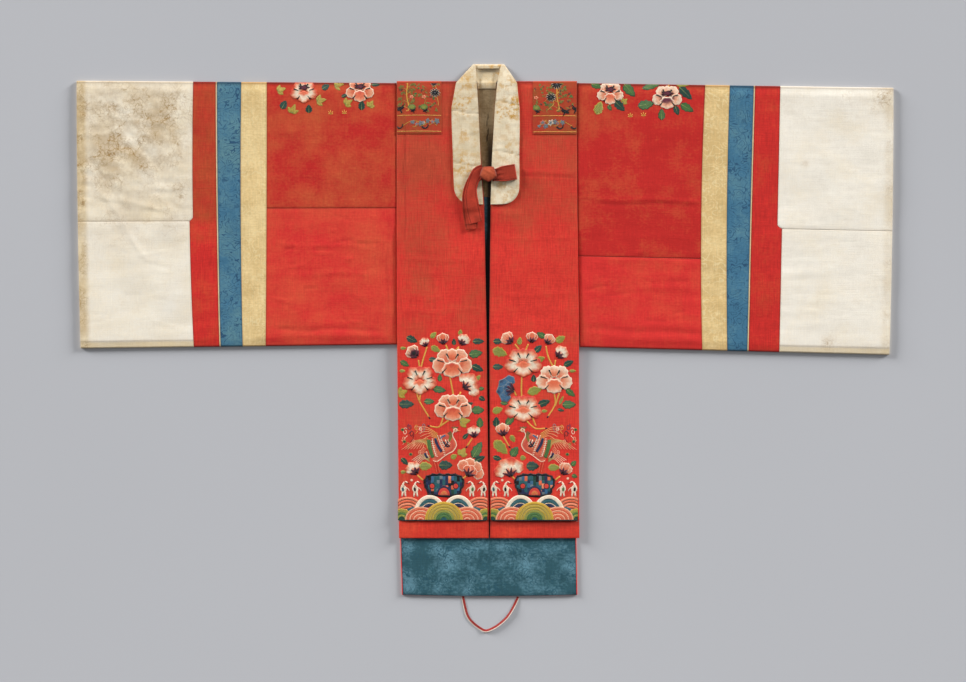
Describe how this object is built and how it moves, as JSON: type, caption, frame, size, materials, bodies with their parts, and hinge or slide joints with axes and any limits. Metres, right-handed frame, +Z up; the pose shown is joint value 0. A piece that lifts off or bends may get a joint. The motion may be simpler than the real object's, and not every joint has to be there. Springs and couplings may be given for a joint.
{
  "type": "korean bridal robe",
  "caption": "Lined silk wedding robe with an open front, wide banded sleeves with white cuffs, a collar band, a tie and a back hanging loop, laid flat",
  "frame": {"origin": "on the surface the robe lies on, under the middle of its outline without the hanging loop", "axes": "+X along the sleeve span to the wearer's left cuff, +Y along the body to the collar, +Z up out of the front"},
  "size_m": [1.7949, 1.2474, 0.0205],
  "materials": {
    "red_silk": "faded vermilion silk, matt",
    "hem_silk": "vermilion silk, matt",
    "blue_damask": "blue figured silk, soft sheen",
    "yellow_damask": "pale yellow figured silk, soft sheen",
    "white_silk": "aged white silk, stained",
    "collar_silk": "aged white silk, stained",
    "blue_lining": "blue figured silk lining",
    "undyed_lining": "undyed brown lining",
    "patch_silk": "faded orange silk with embroidery",
    "tie_silk": "brick red silk",
    "loop_ribbon": "red and white ribbon"
  },
  "bodies": {
    "root": {"front_left": "red_silk", "front_hem_left": "hem_silk", "shoulder_patch_left": "patch_silk", "sleeve_left_upper": "red_silk", "sleeve_left_lower": "red_silk", "yellow_band_left": "yellow_damask", "blue_band_left": "blue_damask", "piping_left": "yellow_damask", "red_band_left": "red_silk", "cuff_left_upper": "white_silk", "cuff_left_lower": "white_silk", "collar_left": "collar_silk", "front_right": "red_silk", "front_hem_right": "hem_silk", "shoulder_patch_right": "patch_silk", "sleeve_right_upper": "red_silk", "sleeve_right_lower": "red_silk", "yellow_band_right": "yellow_damask", "blue_band_right": "blue_damask", "piping_right": "yellow_damask", "red_band_right": "red_silk", "cuff_right_upper": "white_silk", "cuff_right_lower": "white_silk", "collar_right": "collar_silk", "back": "red_silk", "back_lining": "blue_lining", "back_lining_yoke": "undyed_lining", "collar_back": "collar_silk", "tie_tail_under": "tie_silk", "tie_tail_over": "tie_silk", "tie_bow": "tie_silk", "tie_knot": "tie_silk", "hanging_loop": "loop_ribbon"}
  },
  "joints": []
}
